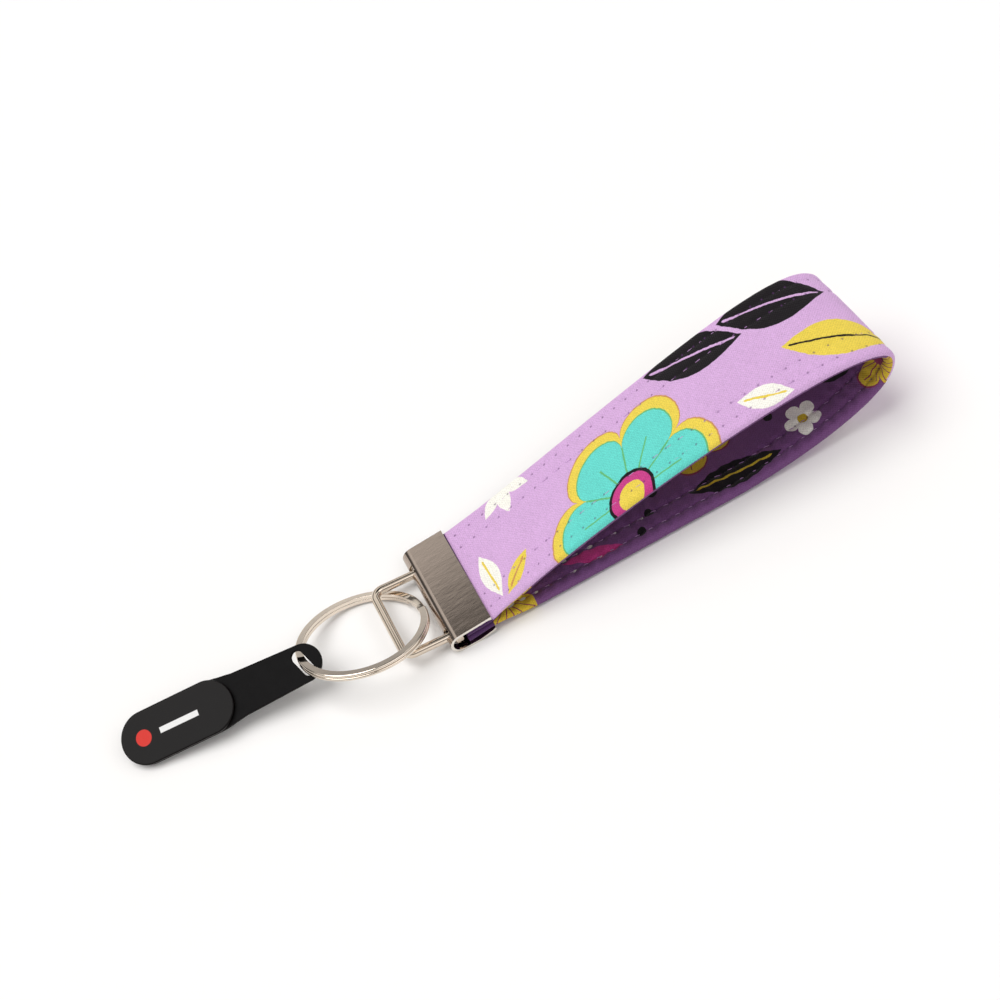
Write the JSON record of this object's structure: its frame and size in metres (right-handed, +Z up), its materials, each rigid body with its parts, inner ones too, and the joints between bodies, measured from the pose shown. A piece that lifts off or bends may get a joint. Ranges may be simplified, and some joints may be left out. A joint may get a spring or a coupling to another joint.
{
  "type": "wristlet keychain",
  "caption": "Padded fabric wrist loop crimped in a metal clamp, with a wire bail, a split ring for keys and a flat name tag.",
  "frame": {"origin": "centre of the clamp's underside, where it lies on the table", "axes": "+X along the strap from the clamp to the wrist loop, +Y across the strap, +Z up from the table"},
  "size_m": [0.2118, 0.0344, 0.0293],
  "materials": {
    "clamp_metal": "satin nickel plate on folded steel",
    "wire_metal": "polished nickel plate",
    "ring_metal": "polished nickel plate",
    "printed_cotton": "plain-weave cotton with a bold floral print",
    "core_webbing": "white webbing",
    "thread": "lilac sewing thread",
    "tag_rubber": "soft matte black",
    "adhesive": "thin adhesive film",
    "tag_gloss": "glossy black"
  },
  "bodies": {
    "root": {"clamp_shell": "clamp_metal", "strap_cover": "printed_cotton", "strap_core": "core_webbing", "topstitch_thread": "thread"},
    "bail": {"wire_bail": "wire_metal"},
    "ring": {"split_ring": "ring_metal"},
    "tag": {"tag_strap": "tag_rubber", "tag_adhesive": "adhesive", "tag_plate": "tag_gloss"}
  },
  "joints": [
    {"name": "bail_swing", "type": "hinge", "parent": "root", "child": "bail", "pos_m": [-0.0031, 0, 0.0029], "axis": [0, 1, 0], "range_deg": [-36, 18]},
    {"name": "ring_swing", "type": "hinge", "parent": "bail", "child": "ring", "pos_m": [-0.01597, 0.01168, 0.00122], "axis": [0.8675, -0.4971, 0.0199], "range_deg": [-12, 4]},
    {"name": "tag_swing", "type": "hinge", "parent": "ring", "child": "tag", "pos_m": [-0.03961, -0.00289, 0.0091], "axis": [-0.1239, 0.9554, -0.2679], "range_deg": [-6, 45]}
  ]
}
